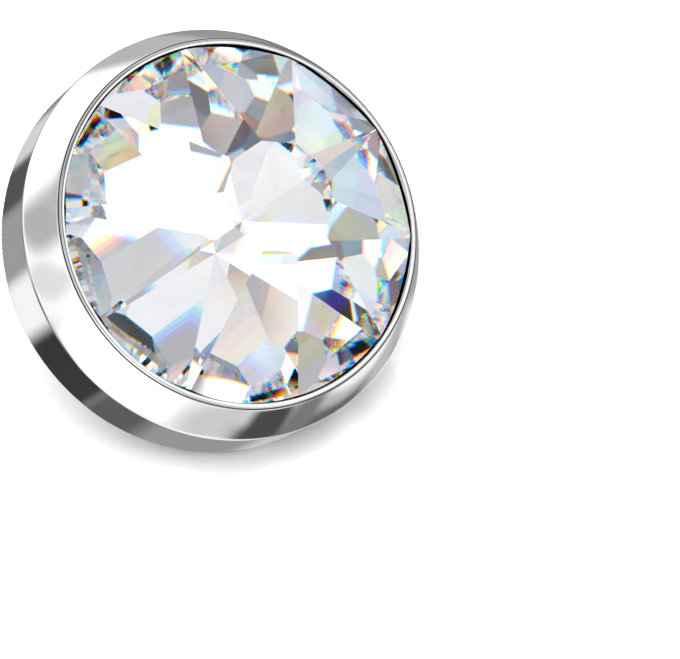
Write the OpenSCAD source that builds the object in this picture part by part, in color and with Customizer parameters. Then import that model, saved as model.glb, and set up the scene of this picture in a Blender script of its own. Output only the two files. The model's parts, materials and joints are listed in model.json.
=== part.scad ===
// Dermal anchor top: a bevelled steel head that holds one large cut crystal, on a short threaded post.
// It lies as it would on a table: the rim of its back face and the rounded end of its post touch Z = 0,
// and the crystal looks up and towards -Y.
// Every piece is modelled upright first, with the back face of the head at Z = 0 and the crystal on top.

/* [Head] */
// Diameter of the head, across its straight side band
head_d = 5; // [4:0.1:6]
// Height of the straight side band, from the back face up
band_h = 0.9; // [0.8:0.05:1.2]
// Height of the sloping bezel above the band
bezel_h = 0.56; // [0.45:0.01:0.7]
// Width of the sloping bezel, seen from the front
bezel_w = 0.28; // [0.2:0.01:0.35]
// Width of the thin lip between the bezel and the crystal
lip_w = 0.06; // [0.04:0.01:0.1]
// Rounding of the rim round the back face
rim_round = 0.04; // [0.02:0.01:0.08]

/* [Crystal] */
// Number of sides of the table, with one crown facet to each side
table_sides = 10; // [8:1:12]
// Distance across the corners of the table
table_d = 1.34; // [1:0.02:1.6]
// Height of the table above the lip
crown_h = 1.22; // [0.9:0.02:1.4]
// Turn of the crystal in its setting, in degrees
crystal_turn = 7.5; // [0:0.5:36]
// Height of the straight girdle, where it is thinnest
girdle_h = 0.08; // [0.05:0.01:0.12]
// Thickness of the head under the point of the crystal
floor_h = 0.72; // [0.6:0.01:0.8]
// Gap between the crystal and the head
crystal_gap = 0.02; // [0.01:0.005:0.03]

/* [Post] */
// Diameter of the post, across its neck and the crests of its thread
post_d = 1; // [0.9:0.05:1.6]
// Length of the post below the head
post_l = 1.74; // [1.5:0.02:2.2]
// Length of the plain neck next to the head
neck_l = 0.22; // [0.15:0.01:0.4]
// Distance from one crest of the thread to the next
thread_pitch = 0.25; // [0.2:0.01:0.3]
// Rounding of the free end of the post
tip_round = 0.25; // [0.15:0.01:0.3]
// Length of the plain land between the thread and the rounded end
land_l = 0.09; // [0.06:0.01:0.2]
// Height of the spigot at the top of the post, above the back face of the head
spigot_l = 0.22; // [0.15:0.01:0.25]
// Depth of the round recess in the back face that takes the end of the neck
recess_h = 0.04; // [0.03:0.01:0.06]

/* [Hidden] */
$fn = 96;

head_r = head_d / 2;
head_h = band_h + bezel_h;
lip_r = head_r - bezel_w;
seat_r = lip_r - lip_w;

// The crown facets fall from the sides of the table to the girdle. They meet the lip at the corners,
// and dip a little below it between them.
half_side = 180 / table_sides;
crystal_r = seat_r - crystal_gap;
table_z = head_h + crown_h;
table_apothem = table_d / 2 * cos(half_side);
crown_slope = atan(crown_h / (crystal_r * cos(half_side) - table_apothem));
crown_dip_z = table_z - (crystal_r - table_apothem) * tan(crown_slope);

// The pavilion is a shallow pyramid, with one side under each side of the crown.
girdle_z = crown_dip_z - girdle_h;
point_z = floor_h + crystal_gap;
pavilion_slope = atan((girdle_z - point_z) / crystal_r);

// The seat is the cone through the edges between the pavilion's facets, set back by the gap.
seat_z = floor_h + seat_r * cos(half_side) * tan(pavilion_slope);

// The spigot of the post sits in a blind bore, and the end of its neck in a shallow recess.
spigot_r = 0.34 * post_d;
spigot_gap = 0.01;
neck_gap = 0.02;

// The thread is a 60 degree one with flat crests, on a plain core. Its crests stay just inside
// the neck's own cylinder, and each end of its ridge runs out into the core.
post_r = post_d / 2;
thread_depth = 0.6134 * thread_pitch;
core_r = post_r - thread_depth;
crest_inset = 0.003;
crest_r = post_r - crest_inset;
crest_w = thread_pitch / 8;
ridge_sink = 0.03;
run_out_turns = 0.5;
thread_l = post_l - tip_round - land_l - neck_l;
thread_turns = thread_l / thread_pitch - run_out_turns / 2;
thread_z = -neck_l - (thread_l - thread_pitch * thread_turns) / 2;
turn_steps = 28;
ring_count = round(thread_turns * turn_steps);

// The object lies on the rim of the back face and on the rounded end of the post.
rim_centre_r = head_r - rim_round;
tip_centre_r = post_r - tip_round;
tip_centre_z = tip_round - post_l;
rest_run = rim_centre_r - tip_centre_r;
rest_drop = rim_round - tip_centre_z;
rest_span = norm([rest_run, rest_drop]);
rest_tilt = atan2(rest_drop, rest_run) + asin((tip_round - rim_round) / rest_span);
rest_z = rim_centre_r * sin(rest_tilt) - rim_round * cos(rest_tilt) + rim_round;
front_y = -lip_r * cos(rest_tilt) - head_h * sin(rest_tilt);
back_y = rim_centre_r * cos(rest_tilt) - rim_round * sin(rest_tilt) + rim_round;
rest_y = -(front_y + back_y) / 2;

// Lays an upright piece down in the rest pose.
module laid_down() {
    translate([0, rest_y, rest_z]) rotate([rest_tilt, 0, 0]) children();
}

// Everything above a plane that falls outwards from radius r at height z, at one bearing.
module above_plane(r, z, slope, bearing) {
    big = 4 * head_d;
    rotate([0, 0, bearing]) translate([r, 0, z]) rotate([0, slope, 0])
        translate([-big / 2, -big / 2, 0]) cube(big);
}

// Everything below a plane that rises outwards from the centre line at height z, at one bearing.
module below_plane(z, slope, bearing) {
    big = 4 * head_d;
    rotate([0, 0, bearing]) translate([0, 0, z]) rotate([0, -slope, 0])
        translate([-big / 2, -big / 2, -big]) cube(big);
}

// Half section of the solid head, with the rim of its back face rounded.
module head_section() {
    polygon([
        [0, 0],
        [rim_centre_r, 0],
        [rim_centre_r, rim_round],
        [head_r, rim_round],
        [head_r, band_h],
        [lip_r, head_h],
        [0, head_h]
    ]);
    translate([rim_centre_r, rim_round]) circle(rim_round);
}

// Half section of the pocket for the crystal: a straight wall, a conical seat and a point.
module pocket_section() {
    polygon([
        [0, floor_h],
        [seat_r, seat_z],
        [seat_r, head_h + 1],
        [0, head_h + 1]
    ]);
}

// The two steps of the hole in the back of the head: the recess for the neck and the spigot's bore.
module back_hole() {
    translate([0, 0, -1]) {
        cylinder(h = 1 + recess_h, r = post_r + neck_gap);
        cylinder(h = 1 + spigot_l + spigot_gap, r = spigot_r + spigot_gap);
    }
}

// Half section of the post without its thread, from the spigot down to the rounded end.
module post_section() {
    polygon([
        [0, spigot_l],
        [spigot_r, spigot_l],
        [spigot_r, recess_h - spigot_gap],
        [post_r, recess_h - spigot_gap],
        [post_r, -neck_l],
        [core_r, -neck_l - thread_depth / 2],
        [core_r, tip_centre_z + land_l + thread_depth / 2],
        [post_r, tip_centre_z + land_l],
        [post_r, tip_centre_z],
        [tip_centre_r, tip_centre_z],
        [tip_centre_r, -post_l],
        [0, -post_l]
    ]);
    translate([tip_centre_r, tip_centre_z]) circle(tip_round);
}

// How far the ridge has risen out of the core after some turns, from 0 to 1.
function ridge_rise(turn) = max(0, min(1, turn / run_out_turns, (thread_turns - turn) / run_out_turns));

// One ring of the ridge: its upper foot, upper crest, lower crest and lower foot.
function ridge_ring(turn) =
    let (
        foot_r = core_r - ridge_sink,
        low_r = core_r - ridge_sink / 2,
        top_r = low_r + (crest_r - low_r) * ridge_rise(turn),
        foot_w = crest_w + 2 * (top_r - foot_r) * tan(30),
        bearing = -360 * turn,
        z = thread_z - thread_pitch * turn
    )
    [
        for (corner = [[foot_r, foot_w], [top_r, crest_w], [top_r, -crest_w], [foot_r, -foot_w]])
            [corner[0] * cos(bearing), corner[0] * sin(bearing), z + corner[1] / 2]
    ];

// The helical ridge of the thread, right handed, with its two ends run out into the core.
module ridge() {
    last = 4 * ring_count;
    points = [for (i = [0:ring_count]) each ridge_ring(thread_turns * i / ring_count)];
    sides = [
        for (i = [0:ring_count - 1], j = [0:3])
            let (a = 4 * i + j, b = 4 * i + (j + 1) % 4)
            each [[a, b, b + 4], [a, b + 4, a + 4]]
    ];
    ends = [[0, 3, 2], [0, 2, 1], [last, last + 1, last + 2], [last, last + 2, last + 3]];
    polyhedron(points, concat(sides, ends));
}

// Steel head: side band, sloping bezel, thin lip, pocket for the crystal and the post's hole in the back.
module setting() {
    color("lightsteelblue") laid_down() difference() {
        rotate_extrude() head_section();
        rotate_extrude() pocket_section();
        back_hole();
    }
}

// Crystal: a table and a ring of crown facets over a round girdle, and a pointed pavilion below.
module crystal() {
    color("aliceblue") laid_down() rotate([0, 0, crystal_turn]) difference() {
        translate([0, 0, point_z]) cylinder(h = table_z - point_z, r = crystal_r);
        for (i = [0:table_sides - 1]) {
            above_plane(table_apothem, table_z, crown_slope, (2 * i + 1) * half_side);
            below_plane(point_z, pavilion_slope, (2 * i + 1) * half_side);
        }
    }
}

// Threaded post: spigot, plain neck, thread and rounded end.
module threaded_post() {
    color("silver") laid_down() {
        rotate_extrude() post_section();
        ridge();
    }
}

setting();
crystal();
threaded_post();
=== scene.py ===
import json
import math
from collections import namedtuple
from itertools import pairwise

import bmesh
import bpy
from bpy.props import FloatProperty, FloatVectorProperty, IntProperty, PointerProperty
from bpy.types import Operator, Panel, PropertyGroup
from mathutils import Matrix, Vector


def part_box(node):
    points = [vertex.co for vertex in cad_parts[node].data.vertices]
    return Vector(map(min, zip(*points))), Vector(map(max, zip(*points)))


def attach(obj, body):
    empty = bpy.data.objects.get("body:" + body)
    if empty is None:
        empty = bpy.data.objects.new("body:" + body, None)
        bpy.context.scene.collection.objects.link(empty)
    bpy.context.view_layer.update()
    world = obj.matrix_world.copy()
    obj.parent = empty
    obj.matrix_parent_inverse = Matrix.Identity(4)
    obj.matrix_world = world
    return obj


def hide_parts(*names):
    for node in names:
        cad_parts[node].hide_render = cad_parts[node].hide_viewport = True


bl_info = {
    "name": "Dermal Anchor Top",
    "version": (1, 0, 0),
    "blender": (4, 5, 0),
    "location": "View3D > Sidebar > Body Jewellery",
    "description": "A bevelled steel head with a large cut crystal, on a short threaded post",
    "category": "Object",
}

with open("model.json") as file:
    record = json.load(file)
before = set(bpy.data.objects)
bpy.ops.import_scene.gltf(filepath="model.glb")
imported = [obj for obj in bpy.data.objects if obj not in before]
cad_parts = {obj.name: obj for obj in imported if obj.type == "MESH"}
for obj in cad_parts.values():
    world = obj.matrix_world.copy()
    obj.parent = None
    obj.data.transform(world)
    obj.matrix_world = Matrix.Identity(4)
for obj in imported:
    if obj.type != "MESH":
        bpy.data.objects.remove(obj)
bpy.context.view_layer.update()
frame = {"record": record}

# Pieces are modelled upright and in millimetres, back face at Z = 0, and laid down in metres at the end.
MM = 0.001
BODY = "root"

# Points closer together than this are one point, and points closer to a cut lie on it, in millimetres.
MERGE_DISTANCE = 1e-5
CUT_DISTANCE = 1e-6
# Roundings of the fine turned edges, of the spigot's end and of the groove's outer edge, in millimetres.
FINE_EDGE = 0.01
SPIGOT_EDGE = 0.02
GROOVE_EDGE = 0.003
# Share of the bezel's width over which its bulge is rounded.
BULGE_SHARE = 0.9
# Edges of the post that bend less than this are shaded smooth.
SMOOTH_BEND = math.radians(30)
# Faces of the crystal whose normals rise less than this have the foil behind them.
FOIL_RISE = 0.1
# The range where a noise mostly lies.
NOISE_RANGE = (0.3, 0.7)
# Relief of the marks on the steel and of the crystal's polish.
MARK_DEPTH = 0.002 * MM
POLISH_DEPTH = 0.001 * MM

Corner = namedtuple("Corner", "radius height rounding")
Card = namedtuple("Card", "azimuth elevation half_width half_height roll softness tone")


def mount(name):
    """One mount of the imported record, by its name."""
    return next(m for m in frame["record"]["mounts"] if m["name"] == name)


def rest_pose():
    """Lays an upright piece down where the frame holds it: its back face on the record's own back face."""
    back = mount("back_face")
    turn = Vector((0, 0, -1)).rotation_difference(Vector(back["axis"]))
    centre = Vector((0, back["pos_m"][1], back["pos_m"][2]))
    return Matrix.Translation(centre) @ turn.to_matrix().to_4x4()


def head_width():
    """Width of the frame's own setting, in metres, which is the diameter of the head."""
    low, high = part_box("setting")
    return high.x - low.x


def length(name, description, default):
    """A length property, whose default is given in millimetres."""
    return FloatProperty(
        name=name, description=description, default=default * MM, min=0.0, precision=6, unit="LENGTH"
    )


def angle(name, description, default):
    """An angle property, whose default is given in degrees."""
    return FloatProperty(name=name, description=description, default=math.radians(default), subtype="ANGLE")


def number(name, description, default, low=0.0):
    """A plain number property."""
    return FloatProperty(name=name, description=description, default=default, min=low)


def count(name, description, default, low):
    """A property that counts sides or steps."""
    return IntProperty(name=name, description=description, default=default, min=low)


def tone(name, description, default):
    """A colour property."""
    return FloatVectorProperty(
        name=name, description=description, default=default, size=3, min=0.0, max=1.0, subtype="COLOR"
    )


class HeadSizes(PropertyGroup):
    """Sizes and finish of the steel head."""

    diameter: length("Diameter", "Width of the head across its straight band", head_width() / MM)
    band_height: length("Band height", "Height of the straight side band", 0.9)
    bezel_height: length("Bezel height", "Height of the sloping bezel above the band", 0.56)
    bezel_width: length("Bezel width", "Width of the sloping bezel, seen from the front", 0.28)
    lip_width: length("Lip width", "Width of the thin lip round the crystal", 0.06)
    lip_round: length("Lip rounding", "Rounding of the lip's inner edge", 0.012)
    lip_outer_round: length("Outer lip rounding", "Rounding of the lip's outer edge", 0.03)
    groove_width: length("Groove width", "Width of the fine groove between the bezel and the lip", 0.014)
    groove_depth: length("Groove depth", "Depth of the fine groove", 0.02)
    rim_round: length("Rim rounding", "Rounding of the rim round the back face", 0.04)
    edge_round: length("Edge rounding", "Rounding of the edge between the band and the bezel", 0.028)
    crown: length("Crowning", "How far the middle of the bezel bulges", 0.012)
    floor_height: length("Floor height", "Thickness of the head under the point of the crystal", 0.72)
    seat_height: length("Seat height", "Height at which the seat's cone meets the pocket's wall", 1.2466)
    recess_radius: length("Recess radius", "Radius of the recess that takes the end of the neck", 0.52)
    recess_depth: length("Recess depth", "Depth of that recess", 0.04)
    bore_radius: length("Bore radius", "Radius of the blind bore for the post's spigot", 0.35)
    bore_depth: length("Bore depth", "Depth of the blind bore", 0.23)
    steps: count("Steps", "Steps in a full turn of the head", 256, low=32)
    steel: tone("Steel", "Colour of the polished steel", (0.9, 0.9, 0.91))
    # The groove's dark colour is painted shade: it stands in for the shade and dark reflections deep in the
    # fine groove.
    groove: tone("Groove", "Colour of the steel deep in the fine groove", (0.24, 0.24, 0.25))


class CrystalSizes(PropertyGroup):
    """Cut and looks of the crystal."""

    sides: count("Table sides", "Sides of the table, and facets round the crown", 10, low=3)
    radius: length("Radius", "Radius of the girdle", 2.14)
    table_diameter: length("Table diameter", "Width across the corners of the table", 1.34)
    table_height: length("Table height", "Height of the table above the back face", 2.68)
    crown_height: length("Crown height", "Height of the table above the lip", 1.22)
    girdle_height: length("Girdle height", "Height of the girdle where it is thinnest", 0.08)
    point_height: length("Point height", "Height of the point of the pavilion above the back face", 0.74)
    turn: angle("Turn", "Turn of the crystal in its setting", 7.5)
    girdle_sides: count("Girdle sides", "Sides that stand for the round girdle", 180, low=32)
    bend: number("Refraction", "Index of refraction of the crystal", 1.5, low=1.0)
    fire: number("Fire", "How far red and blue light part from green", 0.02)
    foil: tone("Foil", "Colour of the silver foil behind the crystal", (0.96, 0.96, 0.97))


class PostSizes(PropertyGroup):
    """Sizes and finish of the threaded post."""

    radius: length("Radius", "Radius of the neck and of the rounded end", 0.5)
    post_length: length("Length", "Length of the post below the head", 1.74)
    neck_length: length("Neck length", "Length of the plain neck next to the head", 0.22)
    shoulder_height: length("Shoulder height", "How far the neck reaches into the head's recess", 0.03)
    spigot_radius: length("Spigot radius", "Radius of the spigot inside the head", 0.34)
    spigot_height: length("Spigot height", "Height of the spigot's top above the back face", 0.22)
    tip_round: length("Tip rounding", "Rounding of the free end", 0.25)
    land: length("Land", "Plain land between the thread and the rounded end", 0.09)
    pitch: length("Pitch", "Distance from one crest of the thread to the next", 0.25)
    core_radius: length("Core radius", "Radius of the core between the crests", 0.347)
    crest_radius: length("Crest radius", "Radius of the crests of the thread", 0.497)
    crest_width: length("Crest width", "Width of the flat crest", 0.031)
    turns: number("Turns", "Turns of the thread, with its run-outs", 4.47)
    steps: count("Steps", "Steps in a full turn of the post", 72, low=24)
    steel: tone("Steel", "Colour of the turned steel", (0.8, 0.8, 0.81))


class StudioSettings(PropertyGroup):
    """The floor, the light and the camera."""

    floor_size: length("Floor size", "Width of the floor", 1000.0)
    floor: tone("Floor", "Colour of the floor", (0.93, 0.93, 0.93))
    light: number("Light", "Strength of the light from all round", 1.15)
    walls: number("Walls", "Tone between the cards that the crystal sees", 0.82)
    flag_scale: number("Flag scale", "Fineness of the soft fields that the steel sees", 1.6)
    flag_tone: number("Flag tone", "Tone of the darkest of those fields", 0.22)
    fill: number("Fill", "Light on matt surfaces from the sides", 0.08)
    overhead: number("Overhead", "Light on matt surfaces from above the camera", 4.9)
    overhead_elevation: angle("Overhead elevation", "Height of that light's middle above the horizon", 71)
    shard_scale: number("Shard scale", "Fineness of the small fields that the crystal sees", 36.0)
    shard_tone: number("Shard tone", "Tone of the darkest of those fields", 0.4)
    azimuth: angle("Azimuth", "Direction the camera looks from, round the object", -36.577)
    elevation: angle("Elevation", "Height of the camera above the horizon", 44.486)
    distance: length("Distance", "Distance from the camera to the point it looks at", 35.0)
    aim: FloatVectorProperty(
        name="Aim",
        description="The point that the camera looks at",
        default=(0.606 * MM, -1.663 * MM, 1.439 * MM),
        size=3,
        subtype="TRANSLATION",
        unit="LENGTH",
    )
    lens: number("Lens", "Focal length of the camera, in millimetres", 156.33)


def hold_ends(bm, hold=0.015, shortest=0.12):
    """Splits each long edge of a wire close to both ends, so that smooth shading keeps flat faces flat."""
    for edge in [edge for edge in bm.edges if edge.calc_length() > shortest]:
        first, second = edge.verts
        near = bmesh.utils.edge_split(edge, first, hold / edge.calc_length())[1]
        rest = next(e for e in near.link_edges if second in e.verts)
        bmesh.utils.edge_split(rest, second, hold / rest.calc_length())


def outline(corners, segments=5):
    """A half section of (radius, height, rounding) corners as a wire, with its corners rounded."""
    bm = bmesh.new()
    verts = [bm.verts.new((c.radius, 0, c.height)) for c in corners]
    for a, b in pairwise(verts):
        bm.edges.new((a, b))
    for vert, corner in zip(verts, corners):
        if corner.rounding > 0:
            bmesh.ops.bevel(
                bm,
                geom=[vert, *vert.link_edges],
                offset=corner.rounding,
                offset_type="OFFSET",
                segments=segments,
                profile=0.5,
                affect="VERTICES",
                material=-1,
            )
    hold_ends(bm)
    return bm


def spun(corners, steps):
    """A closed body: a half section spun once round Z."""
    bm = outline(corners)
    bmesh.ops.spin(
        bm,
        geom=bm.verts[:] + bm.edges[:],
        cent=(0, 0, 0),
        axis=(0, 0, 1),
        angle=2 * math.pi,
        steps=steps,
        use_merge=True,
    )
    bmesh.ops.remove_doubles(bm, verts=bm.verts, dist=MERGE_DISTANCE)
    bmesh.ops.recalc_face_normals(bm, faces=bm.faces)
    return bm


def piece(name, bm, materials, smooth=True):
    """Turns an upright body in millimetres into an object in its place. A body that is open is an error."""
    open_edges = sum(not e.is_manifold for e in bm.edges)
    if open_edges:
        raise RuntimeError(f"{name} has {open_edges} open edges")
    bmesh.ops.transform(bm, matrix=rest_pose() @ Matrix.Scale(MM, 4), verts=bm.verts)
    mesh = bpy.data.meshes.new(name)
    bm.to_mesh(mesh)
    bm.free()
    for material in materials:
        mesh.materials.append(material)
    if smooth:
        mesh.shade_smooth()
    else:
        mesh.shade_flat()
    made = bpy.data.objects.new(name, mesh)
    bpy.context.scene.collection.objects.link(made)
    return made


def stand_for(made, node):
    """The piece takes the place of a node of the frame, with its body."""
    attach(made, BODY)
    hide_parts(node)


class Shader:
    """Short ways to add and join the nodes of one tree."""

    def __init__(self, tree):
        self.tree = tree
        tree.nodes.clear()

    def node(self, kind, inputs=None, **settings):
        """Adds a node, sets its settings and fills or links its inputs, by name or place."""
        made = self.tree.nodes.new(kind)
        for key, value in settings.items():
            setattr(made, key, value)
        for key, value in (inputs or {}).items():
            if isinstance(value, bpy.types.NodeSocket):
                self.tree.links.new(value, made.inputs[key])
            else:
                made.inputs[key].default_value = value
        return made

    def math(self, operation, *values):
        """A Math node's result."""
        return self.node("ShaderNodeMath", dict(enumerate(values)), operation=operation).outputs[0]

    def upright_coordinates(self):
        """Object coordinates in millimetres in the head's own upright frame."""
        place = rest_pose()
        upright = place.to_3x3().inverted()
        return self.node(
            "ShaderNodeMapping",
            {
                "Vector": self.node("ShaderNodeTexCoord").outputs["Object"],
                "Location": -(upright @ place.translation) / MM,
                "Rotation": upright.to_euler(),
                "Scale": (1 / MM,) * 3,
            },
            vector_type="POINT",
        ).outputs["Vector"]

    def around(self, coordinates, radial, turning, axial):
        """Coordinates that run round the axis, each stretched by its own scale."""
        x, y, z = self.node("ShaderNodeSeparateXYZ", {0: coordinates}).outputs
        squares = self.math("ADD", self.math("MULTIPLY", x, x), self.math("MULTIPLY", y, y))
        radius = self.math("SQRT", squares)
        return self.node(
            "ShaderNodeCombineXYZ",
            {
                0: self.math("MULTIPLY", radius, radial),
                1: self.math("MULTIPLY", self.math("ARCTAN2", y, x), turning),
                2: self.math("MULTIPLY", z, axial),
            },
        ).outputs[0]

    def noise(self, vector, scale, detail=2.0):
        """A noise from 0 to 1."""
        inputs = {"Vector": vector, "Scale": scale, "Detail": detail}
        return self.node("ShaderNodeTexNoise", inputs).outputs["Fac"]

    def ramp(self, value, start, end, low, high, soft=False):
        """A value that goes from low to high as another goes from start to end."""
        return self.node(
            "ShaderNodeMapRange",
            {"Value": value, "From Min": start, "From Max": end, "To Min": low, "To Max": high},
            interpolation_type="SMOOTHSTEP" if soft else "LINEAR",
        ).outputs["Result"]

    def between(self, noise, low, high):
        """A value that goes from low to high over the range where a noise mostly lies."""
        return self.ramp(noise, *NOISE_RANGE, low, high)

    def mix(self, factor, first, second):
        """A colour that goes from the first to the second as the factor goes from 0 to 1."""
        return self.node("ShaderNodeMix", {0: factor, 6: first, 7: second}, data_type="RGBA").outputs[2]

    def clouded(self, colour, cloud, share):
        """A colour that a noise darkens in places, down to a share of itself."""
        colour = Vector(colour)
        return self.mix(self.between(cloud, 0.0, 1.0), (*(colour * share), 1), (*colour, 1))

    def surface(self, inputs):
        """Gives the material a surface with these settings."""
        surface = self.node("ShaderNodeBsdfPrincipled", inputs)
        self.node("ShaderNodeOutputMaterial", {"Surface": surface.outputs[0]})


def new_material(name):
    """An empty material and its shader."""
    material = bpy.data.materials.new(name)
    material.use_nodes = True
    return material, Shader(material.node_tree)


def steel_material(name, colour, roughness, marks):
    """Steel with faint marks that run round the axis: a little tone, roughness and relief."""
    material, shader = new_material(name)
    place = shader.upright_coordinates()
    fine = shader.noise(shader.around(place, radial=60, turning=3, axial=60), scale=1.0)
    cloud = shader.noise(place, scale=1.6, detail=3.0)
    bump = shader.node("ShaderNodeBump", {"Strength": marks, "Distance": MARK_DEPTH, "Height": fine})
    shader.surface(
        {
            "Base Color": shader.clouded(colour, cloud, share=0.96),
            "Metallic": 1.0,
            "Roughness": shader.between(fine, roughness * 0.7, roughness * 1.3),
            "Normal": bump.outputs[0],
        }
    )
    return material


# The colours that light parts into, which add up to white, and where each lies from red to blue.
SPECTRUM = (
    ((0.5, 0, 0), -1),
    ((0.5, 0.3, 0), -0.5),
    ((0, 0.4, 0), 0),
    ((0, 0.3, 0.5), 0.5),
    ((0, 0, 0.5), 1),
)


def crystal_material(crystal):
    """Clear cut crystal. Light parts into its colours as it enters, and leaves by one common refraction."""
    material, shader = new_material("clear_crystal")
    place = shader.upright_coordinates()
    polish = shader.node(
        "ShaderNodeBump",
        {"Strength": 0.02, "Distance": POLISH_DEPTH, "Height": shader.noise(place, scale=3.0)},
    ).outputs[0]
    parted = None
    for colour, shift in SPECTRUM:
        glass = shader.node(
            "ShaderNodeBsdfGlass",
            {
                "Color": (*colour, 1),
                "Roughness": 0.0,
                "IOR": crystal.bend + shift * crystal.fire,
                "Normal": polish,
            },
        ).outputs[0]
        parted = shader.node("ShaderNodeAddShader", {0: parted, 1: glass}).outputs[0] if parted else glass
    whole = shader.node("ShaderNodeBsdfGlass", {"Roughness": 0.0, "IOR": crystal.bend, "Normal": polish})
    leaving = shader.node("ShaderNodeNewGeometry").outputs["Backfacing"]
    surface = shader.node("ShaderNodeMixShader", {0: leaving, 1: parted, 2: whole.outputs[0]})
    shader.node("ShaderNodeOutputMaterial", {"Surface": surface.outputs[0]})
    return material


def foil_material(colour):
    """The silver foil on the back of the crystal, with a faint cloudiness."""
    material, shader = new_material("crystal_foil")
    cloud = shader.noise(shader.upright_coordinates(), scale=2.5)
    shader.surface(
        {
            "Base Color": shader.clouded(colour, cloud, share=0.97),
            "Metallic": 1.0,
            "Roughness": shader.between(cloud, 0.0, 0.01),
        }
    )
    return material


def floor_material(colour):
    """A pale, slightly glossy table top."""
    material, shader = new_material("pale_floor")
    coordinates = shader.node("ShaderNodeTexCoord").outputs["Object"]
    cloud = shader.noise(coordinates, scale=60.0)
    shader.surface({"Base Color": (*colour, 1), "Roughness": shader.between(cloud, 0.04, 0.07), "IOR": 2.2})
    return material


class DERMALTOP_OT_make_setting(Operator):
    """Make the steel head: band, sloping bezel, groove and lip, the pocket and the hole for the post"""

    bl_idname = "dermal_top.make_setting"
    bl_label = "Setting"

    def execute(self, context):
        head = context.scene.dermal_head
        rim = head.diameter / 2 / MM
        band = head.band_height / MM
        top = band + head.bezel_height / MM
        lip = rim - head.bezel_width / MM
        seat = lip - head.lip_width / MM
        groove = head.groove_width / MM
        slope = head.bezel_height / head.bezel_width
        groove_top = top - groove * slope
        bulge = Vector((slope, 1)).normalized() * head.crown / MM
        middle = Vector(((rim + lip) / 2, (band + top) / 2)) + bulge
        corners = (
            Corner(0, head.bore_depth / MM, 0),
            Corner(head.bore_radius / MM, head.bore_depth / MM, 0),
            Corner(head.bore_radius / MM, head.recess_depth / MM, 0),
            Corner(head.recess_radius / MM, head.recess_depth / MM, 0),
            Corner(head.recess_radius / MM, 0, FINE_EDGE),
            Corner(rim, 0, head.rim_round / MM),
            Corner(rim, band, head.edge_round / MM),
            Corner(middle.x, middle.y, head.bezel_width / MM * BULGE_SHARE),
            Corner(lip + groove, groove_top, GROOVE_EDGE),
            Corner(lip + groove / 2, groove_top - head.groove_depth / MM, 0),
            Corner(lip, groove_top, 0),
            Corner(lip, top, head.lip_outer_round / MM),
            Corner(seat, top, head.lip_round / MM),
            Corner(seat, head.seat_height / MM, 0),
            Corner(0, head.floor_height / MM, 0),
        )
        bm = spun(corners, head.steps)
        # Faces in the fine groove get the second, darker steel, whose colour is painted shade in the groove.
        for face in bm.faces:
            centre = face.calc_center_median()
            in_painted_groove_shade = lip < centre.xy.length < lip + groove and band < centre.z < groove_top
            face.material_index = int(in_painted_groove_shade)
        # The second steel's dark colour is painted shade for the groove, standing in for its shade and dark
        # reflections.
        materials = (
            steel_material("polished_steel", head.steel, roughness=0.06, marks=0.06),
            steel_material("groove_steel_painted_shade", head.groove, roughness=0.3, marks=0.3),
        )
        setting = piece("setting_polished", bm, materials)
        stand_for(setting, "setting")
        return {"FINISHED"}


class DERMALTOP_OT_make_crystal(Operator):
    """Cut the crystal out of a round blank, one plane for each facet, and put foil behind it"""

    bl_idname = "dermal_top.make_crystal"
    bl_label = "Crystal"

    def cut(self, bm, point, normal):
        """Takes off everything beyond a plane and closes the facet that is left."""
        bmesh.ops.bisect_plane(
            bm,
            geom=bm.verts[:] + bm.edges[:] + bm.faces[:],
            plane_co=point,
            plane_no=normal,
            clear_outer=True,
            dist=CUT_DISTANCE,
        )
        rim = [edge for edge in bm.edges if edge.is_boundary]
        if rim:
            bmesh.ops.contextual_create(bm, geom=rim)

    def execute(self, context):
        crystal = context.scene.dermal_crystal
        radius = crystal.radius / MM
        table = crystal.table_height / MM
        point = crystal.point_height / MM
        half_side = math.pi / crystal.sides
        table_reach = crystal.table_diameter / 2 / MM * math.cos(half_side)
        crown_slope = math.atan2(crystal.crown_height / MM, radius * math.cos(half_side) - table_reach)
        crown_foot = table - (radius - table_reach) * math.tan(crown_slope)
        girdle = crown_foot - crystal.girdle_height / MM
        pavilion_slope = math.atan2(girdle - point, radius)
        bm = bmesh.new()
        bmesh.ops.create_cone(
            bm,
            cap_ends=True,
            segments=crystal.girdle_sides,
            radius1=radius,
            radius2=radius,
            depth=table - point,
            matrix=Matrix.Translation((0, 0, (table + point) / 2)),
        )
        for i in range(crystal.sides):
            bearing = Matrix.Rotation(crystal.turn + (2 * i + 1) * half_side, 3, "Z")
            facet = bearing @ Vector((math.sin(crown_slope), 0, math.cos(crown_slope)))
            self.cut(bm, bearing @ Vector((table_reach, 0, table)), facet)
            facet = bearing @ Vector((math.sin(pavilion_slope), 0, -math.cos(pavilion_slope)))
            self.cut(bm, Vector((0, 0, point)), facet)
        bmesh.ops.remove_doubles(bm, verts=bm.verts, dist=MERGE_DISTANCE)
        bmesh.ops.recalc_face_normals(bm, faces=bm.faces)
        for face in bm.faces:
            face.material_index = int(face.normal.z < FOIL_RISE)
        materials = (crystal_material(crystal), foil_material(crystal.foil))
        stone = piece("crystal_cut", bm, materials, smooth=False)
        stand_for(stone, "crystal")
        return {"FINISHED"}


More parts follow.
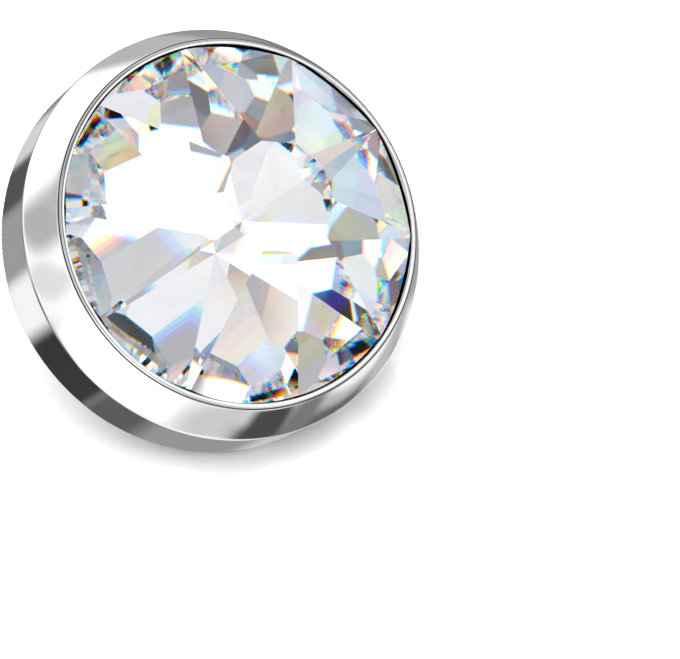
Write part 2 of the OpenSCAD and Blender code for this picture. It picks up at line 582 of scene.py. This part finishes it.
class DERMALTOP_OT_make_post(Operator):
    """Turn the post with its neck, core and rounded end, and wind the thread round it"""

    bl_idname = "dermal_top.make_post"
    bl_label = "Threaded post"

    def core(self, post):
        """The post without its thread."""
        radius = post.radius / MM
        neck_end = -post.neck_length / MM
        core = post.core_radius / MM
        depth = radius - core
        end = -post.post_length / MM
        tip = end + post.tip_round / MM
        land = tip + post.land / MM
        corners = (
            Corner(0, post.spigot_height / MM, 0),
            Corner(post.spigot_radius / MM, post.spigot_height / MM, SPIGOT_EDGE),
            Corner(post.spigot_radius / MM, post.shoulder_height / MM, 0),
            Corner(radius, post.shoulder_height / MM, 0),
            Corner(radius, neck_end, FINE_EDGE),
            Corner(core, neck_end - depth / 2, FINE_EDGE),
            Corner(core, land + depth / 2, FINE_EDGE),
            Corner(radius, land, FINE_EDGE),
            Corner(radius, end, post.tip_round / MM),
            Corner(0, end, 0),
        )
        return spun(corners, post.steps)

    def thread(self, post):
        """The ridge of the thread: its section wound down the core, with both ends run out into it."""
        # Turns over which each end rises out of the core, depth of the foot inside it, slope of the flanks.
        run_out = 0.5
        sink = 0.03
        flank = math.radians(30)
        foot = post.core_radius / MM - sink
        crest = post.crest_radius / MM
        pitch = post.pitch / MM
        half_crest = post.crest_width / MM / 2
        half_foot = half_crest + (crest - foot) * math.tan(flank)
        thread_length = (post.post_length - post.tip_round - post.land - post.neck_length) / MM
        start = -post.neck_length / MM - (thread_length - pitch * post.turns) / 2
        steps = round(post.turns * post.steps)
        bm = bmesh.new()
        section = [(foot, half_foot), (crest, half_crest), (crest, -half_crest), (foot, -half_foot)]
        verts = [bm.verts.new((r, 0, start + z)) for r, z in section]
        face = bm.faces.new(verts)
        bmesh.ops.spin(
            bm,
            geom=[face],
            cent=(0, 0, 0),
            axis=(0, 0, 1),
            dvec=(0, 0, -pitch * post.turns / steps),
            angle=-2 * math.pi * post.turns,
            steps=steps,
        )
        for vert in bm.verts:
            radius = vert.co.xy.length
            turn = (start - vert.co.z) / pitch
            rise = max(0.0, min(1.0, turn / run_out, (post.turns - turn) / run_out))
            if radius > foot + sink:
                low = foot + sink / 2
                vert.co.xy *= (low + (crest - low) * rise) / radius
        bmesh.ops.recalc_face_normals(bm, faces=bm.faces)
        return bm

    def fused(self, first, second):
        """One body from two that run into each other."""
        made = []
        for bm in (first, second):
            mesh = bpy.data.meshes.new("post_blank")
            bm.to_mesh(mesh)
            bm.free()
            made.append(bpy.data.objects.new("post_blank", mesh))
            bpy.context.scene.collection.objects.link(made[-1])
        core, ridge = made
        union = core.modifiers.new("Fuse", "BOOLEAN")
        union.operation = "UNION"
        union.solver = "EXACT"
        union.object = ridge
        whole = bmesh.new()
        whole.from_object(core, bpy.context.evaluated_depsgraph_get())
        for blank in made:
            bpy.data.objects.remove(blank)
        bmesh.ops.remove_doubles(whole, verts=whole.verts, dist=MERGE_DISTANCE)
        return whole

    def execute(self, context):
        post = context.scene.dermal_post
        bm = self.fused(self.core(post), self.thread(post))
        for edge in bm.edges:
            edge.smooth = edge.calc_face_angle(0.0) < SMOOTH_BEND
        materials = (steel_material("post_steel", post.steel, roughness=0.12, marks=0.15),)
        turned = piece("threaded_post_turned", bm, materials)
        stand_for(turned, "threaded_post")
        return {"FINISHED"}


# The cards of the studio, by the direction they stand in: azimuth from +X towards +Y, elevation above the
# horizon, half sizes and roll in degrees, softness of the edge as a share of the size, and tone. Each covers
# the ones before it. The steel and the crystal have their own.
STEEL_CARDS = (
    Card(100, 9, 24, 9, 0, 0.3, 1.25),
    Card(-167, -28, 24, 26, 0, 0.2, 1.25),
    Card(115, -41, 6, 7, 0, 0.2, 0.88),
    Card(-53, 45, 8, 8, 0, 0.3, 1.15),
    Card(47, -32, 18, 22, 0, 0.3, 0.28),
    Card(51, -33, 4, 5, 0, 0.5, 0.19),
    Card(67, -5, 12, 9, 0, 0.35, 0.45),
    Card(138, 7, 10, 6, 0, 0.5, 0.44),
    Card(156, -4, 8, 5, 0, 0.4, 0.74),
    Card(-118, -59, 12, 7, 0, 0.5, 0.58),
    Card(2, -58, 22, 14, 0, 0.4, 0.47),
    Card(32, -45, 8, 7, 0, 0.5, 0.34),
    Card(-8, -54, 17, 3, 25, 0.4, 0.9),
    Card(40, -46.5, 10, 2, 10, 0.4, 0.75),
    Card(-62, -71.5, 16, 3, 0, 0.4, 0.12),
    Card(-12, -64, 11, 3, 28, 0.4, 0.12),
    Card(-78, -66, 8, 7, 0, 0.4, 0.065),
    Card(-46, -66, 5, 7, 0, 0.5, 0.18),
    Card(76, -31, 7, 6, 0, 0.4, 0.6),
    Card(64, -38, 5, 5, 0, 0.5, 0.24),
    Card(88, -29, 5.5, 9, 0, 0.3, 0.08),
    Card(102, -32, 6.5, 6, 0, 0.3, 0.31),
    Card(72, -68, 14, 10, 0, 0.4, 0.28),
    Card(52, -52, 6, 4, 0, 0.5, 0.5),
    Card(113, -67, 6, 5, 0, 0.4, 0.1),
    Card(122, -54, 4, 9, 0, 0.25, 0.035),
    Card(142, -26, 8, 6, 0, 0.5, 0.1),
    Card(95, -45, 7, 4, 0, 0.3, 0.06),
    Card(-2, 8, 30, 8, 33, 0.4, 0.1),
)
CRYSTAL_CARDS = (
    Card(-58, 6, 30, 30, 0, 0.25, 1.6),
    Card(-120, 80, 20, 20, 0, 0.3, 1.5),
    Card(-145, 52, 14, 5, 0, 0.2, 1.5),
    Card(-175, -16, 28, 26, 0, 0.2, 0.36),
    Card(-102, -4, 24, 16, 0, 0.15, 0.42),
    Card(-81, -16, 6, 5, 0, 0.3, 0.15),
    Card(-101, 10, 5, 4, 0, 0.15, 0.12),
    Card(-115, 27, 8, 6, 0, 0.3, 0.12),
    Card(-146, 26, 8, 5, 0, 0.3, 0.48),
    Card(80, 56, 32, 8, 0, 0.3, 0.42),
    Card(15, 70, 10, 5, 0, 0.4, 0.6),
    Card(67, 73, 3, 3, 0, 0.3, 0.3),
    Card(-178, 55, 10, 5, 0, 0.3, 0.42),
    Card(-164, 70, 6, 4, 0, 0.3, 0.3),
    Card(-177, -9, 6, 5, 0, 0.3, 0.2),
    Card(-85, 25, 3, 3, 0, 0.3, 0.5),
    Card(-99, 58, 4, 3, 0, 0.3, 0.5),
    Card(-128, 43, 8, 7, 0, 0.2, 0.02),
    Card(-94, 42, 4, 4, 0, 0.2, 0.02),
    Card(-124, 12, 2.5, 2.5, 0, 0.2, 0.35),
    Card(-150, 64, 8, 3, 0, 0.3, 0.35),
    Card(-50, 56, 6, 4, 0, 0.3, 0.4),
    Card(-111, 55, 4, 4, 0, 0.3, 0.5),
    Card(100, 63.5, 2.5, 1.5, 0, 0.15, 0),
    Card(-71, 37, 4, 3, 0, 0.2, 0.02),
    Card(-30, 82, 4, 4, 0, 0.2, 0.1),
)


# The soft fields that the steel sees: the tone of the palest, the range of the noise over which they go from
# dark to pale, and the heights over which they set in above and below the horizon.
PALE_FLAG = 0.88
FLAG_RANGE = (0.42, 0.56)
HORIZON = (0.1, 0.3)
# Share of the small fields that stay unshaded, and the tint of the coolest of them.
UNSHADED_SHARE = 0.4
COOL_TINT = (0.93, 0.95, 1.0, 1)
# Where the light above the camera ends, as the cosine of the angle from its middle.
OVERHEAD_EDGE = 0.55
# How square the cards are: at 2 they would be ellipses.
SQUARENESS = 4.0


def grey(value):
    """A grey of a given tone."""
    return (value, value, value, 1)


def seen_from(azimuth, elevation):
    """The direction of a place round the object, with azimuth 0 in front of it."""
    flat = math.cos(elevation)
    return Vector((math.sin(azimuth) * flat, -math.cos(azimuth) * flat, math.sin(elevation)))


class DERMALTOP_OT_make_stage(Operator):
    """Make the pale floor, the studio light with its cards and the camera"""

    bl_idname = "dermal_top.make_stage"
    bl_label = "Stage"

    def floor(self, studio):
        """A large flat floor. Polished surfaces look past it at the studio's cards."""
        bm = bmesh.new()
        bmesh.ops.create_grid(bm, x_segments=1, y_segments=1, size=studio.floor_size / 2)
        mesh = bpy.data.meshes.new("floor")
        bm.to_mesh(mesh)
        bm.free()
        mesh.materials.append(floor_material(studio.floor))
        made = bpy.data.objects.new("floor", mesh)
        made.visible_glossy = False
        made.visible_transmission = False
        bpy.context.scene.collection.objects.link(made)

    def card_group(self):
        """A node group that lays one card of a given direction, size and colour over the light so far."""
        group = bpy.data.node_groups.new("Studio card", "ShaderNodeTree")
        for name, kind in (
            ("Light", "NodeSocketColor"),
            ("Direction", "NodeSocketVector"),
            ("Turn", "NodeSocketVector"),
            ("Width", "NodeSocketFloat"),
            ("Height", "NodeSocketFloat"),
            ("Softness", "NodeSocketFloat"),
            ("Card", "NodeSocketColor"),
        ):
            group.interface.new_socket(name, in_out="INPUT", socket_type=kind)
        group.interface.new_socket("Light", in_out="OUTPUT", socket_type="NodeSocketColor")
        shader = Shader(group)
        given = shader.node("NodeGroupInput").outputs
        facing = shader.node(
            "ShaderNodeMapping",
            {"Vector": given["Direction"], "Rotation": given["Turn"]},
            vector_type="TEXTURE",
        )
        x, y, z = shader.node("ShaderNodeSeparateXYZ", {0: facing.outputs[0]}).outputs
        away = [shader.math("ABSOLUTE", shader.math("ARCTAN2", side, z)) for side in (x, y)]
        across = shader.math("DIVIDE", away[0], given["Width"])
        along = shader.math("DIVIDE", away[1], given["Height"])
        powers = [shader.math("POWER", share, SQUARENESS) for share in (across, along)]
        reach = shader.math("POWER", shader.math("ADD", *powers), 1 / SQUARENESS)
        solid = shader.math("SUBTRACT", 1.0, given["Softness"])
        clear = shader.math("ADD", 1.0, given["Softness"])
        inside = shader.ramp(reach, solid, clear, 1.0, 0.0, soft=True)
        in_front = shader.math("MULTIPLY", inside, shader.math("GREATER_THAN", z, 0.0))
        shader.node("NodeGroupOutput", {0: shader.mix(in_front, given["Light"], given["Card"])})
        return group

    def laid(self, shader, group, direction, cards, light):
        """A set of cards, laid one after the other over the light so far."""
        for card in cards:
            turn = (
                Matrix.Rotation(math.radians(card.azimuth), 3, "Z")
                @ Matrix.Rotation(math.radians(90 - card.elevation), 3, "Y")
                @ Matrix.Rotation(math.radians(90 + card.roll), 3, "Z")
            )
            light = shader.node(
                "ShaderNodeGroup",
                {
                    "Light": light,
                    "Direction": direction,
                    "Turn": turn.to_euler(),
                    "Width": math.radians(card.half_width),
                    "Height": math.radians(card.half_height),
                    "Softness": card.softness,
                    "Card": grey(card.tone),
                },
                node_tree=group,
            ).outputs[0]
        return light

    def flags(self, shader, direction, studio):
        """Soft grey fields for the steel, above and below a clear horizon."""
        cloud = shader.noise(direction, studio.flag_scale, detail=0.0)
        fields = shader.ramp(cloud, *FLAG_RANGE, studio.flag_tone, PALE_FLAG, soft=True)
        height = shader.math("ABSOLUTE", shader.node("ShaderNodeSeparateXYZ", {0: direction}).outputs[2])
        return shader.ramp(height, *HORIZON, 1.0, fields, soft=True)

    def shards(self, shader, direction, cards, studio):
        """The crystal's surroundings, broken into small straight-edged fields of tone with a faint tint."""
        fields = shader.node("ShaderNodeTexVoronoi", {"Vector": direction, "Scale": studio.shard_scale})
        red, _, blue = shader.node("ShaderNodeSeparateXYZ", {0: fields.outputs["Color"]}).outputs
        shade = shader.ramp(red, UNSHADED_SHARE, 1.0, 1.0, studio.shard_tone)
        cool = shader.mix(blue, grey(1.0), COOL_TINT)
        tinted = shader.node("ShaderNodeVectorMath", {0: cards, 1: cool}, operation="MULTIPLY").outputs[0]
        return shader.node("ShaderNodeVectorMath", {0: tinted, "Scale": shade}, operation="SCALE").outputs[0]

    def above_camera(self, shader, direction, studio):
        """A wide soft light above the camera, over a faint light from the sides."""
        middle = seen_from(studio.azimuth, studio.overhead_elevation)
        nearness = shader.node("ShaderNodeVectorMath", {0: direction, 1: middle}, operation="DOT_PRODUCT")
        return shader.ramp(nearness.outputs[1], OVERHEAD_EDGE, 1.0, studio.fill, studio.overhead, soft=True)

    def lit(self, shader, colour, studio):
        """The studio's light in a colour."""
        return shader.node("ShaderNodeBackground", {"Color": colour, "Strength": studio.light}).outputs[0]

    def light(self, studio):
        """Light from all round. Steel, crystal and matt surfaces see their own, the camera plain white."""
        world = bpy.data.worlds.new("studio")
        bpy.context.scene.world = world
        world.use_nodes = True
        world.cycles.sampling_method = "NONE"
        shader = Shader(world.node_tree)
        direction = shader.node("ShaderNodeTexCoord").outputs["Generated"]
        group = self.card_group()
        path = shader.node("ShaderNodeLightPath").outputs
        flags = self.flags(shader, direction, studio)
        steel = self.laid(shader, group, direction, STEEL_CARDS, flags)
        cards = self.laid(shader, group, direction, CRYSTAL_CARDS, grey(studio.walls))
        crystal = self.shards(shader, direction, cards, studio)
        matt = self.above_camera(shader, direction, studio)
        after_matt = shader.math("GREATER_THAN", path["Diffuse Depth"], 0.5)
        # Mixed as shaders, so that a ray works out only the light that it sees.
        light = self.lit(shader, steel, studio)
        for kind, seen in (
            (path["Is Transmission Ray"], crystal),
            (after_matt, matt),
            (path["Is Camera Ray"], grey(1.0)),
        ):
            lit = self.lit(shader, seen, studio)
            light = shader.node("ShaderNodeMixShader", {0: kind, 1: light, 2: lit}).outputs[0]
        shader.node("ShaderNodeOutputWorld", {"Surface": light})

    def camera(self, studio):
        """A long lens that looks down at the object as the photograph does."""
        back = seen_from(studio.azimuth, studio.elevation)
        data = bpy.data.cameras.new("camera")
        data.lens = studio.lens
        data.clip_start = MM
        camera = bpy.data.objects.new("camera", data)
        camera.location = Vector(studio.aim) + back * studio.distance
        camera.rotation_euler = (-back).to_track_quat("-Z", "Y").to_euler()
        bpy.context.scene.collection.objects.link(camera)
        bpy.context.scene.camera = camera

    def execute(self, context):
        scene = context.scene
        studio = scene.dermal_studio
        self.floor(studio)
        self.light(studio)
        self.camera(studio)
        scene.view_settings.view_transform = "Standard"
        scene.cycles.glossy_bounces = 16
        scene.cycles.transmission_bounces = 16
        scene.cycles.max_bounces = 20
        return {"FINISHED"}


class DERMALTOP_PT_panel(Panel):
    """Lists the pieces and their sizes"""

    bl_label = "Dermal Anchor Top"
    bl_idname = "DERMALTOP_PT_panel"
    bl_space_type = "VIEW_3D"
    bl_region_type = "UI"
    bl_category = "Body Jewellery"

    def draw(self, context):
        scene = context.scene
        for operator, sizes in (
            (DERMALTOP_OT_make_setting, scene.dermal_head),
            (DERMALTOP_OT_make_crystal, scene.dermal_crystal),
            (DERMALTOP_OT_make_post, scene.dermal_post),
            (DERMALTOP_OT_make_stage, scene.dermal_studio),
        ):
            box = self.layout.box()
            box.operator(operator.bl_idname)
            for name in sizes.__annotations__:
                box.prop(sizes, name)


GROUPS = {
    "dermal_head": HeadSizes,
    "dermal_crystal": CrystalSizes,
    "dermal_post": PostSizes,
    "dermal_studio": StudioSettings,
}
OPERATORS = (
    DERMALTOP_OT_make_setting,
    DERMALTOP_OT_make_crystal,
    DERMALTOP_OT_make_post,
    DERMALTOP_OT_make_stage,
)


def register():
    for name, group in GROUPS.items():
        bpy.utils.register_class(group)
        setattr(bpy.types.Scene, name, PointerProperty(type=group))
    for cls in (*OPERATORS, DERMALTOP_PT_panel):
        bpy.utils.register_class(cls)


def unregister():
    for cls in reversed((*OPERATORS, DERMALTOP_PT_panel)):
        bpy.utils.unregister_class(cls)
    for name, group in GROUPS.items():
        delattr(bpy.types.Scene, name)
        bpy.utils.unregister_class(group)


def main():
    register()
    bpy.ops.dermal_top.make_setting()
    bpy.ops.dermal_top.make_crystal()
    bpy.ops.dermal_top.make_post()
    bpy.ops.dermal_top.make_stage()


if __name__ == "__main__":
    main()
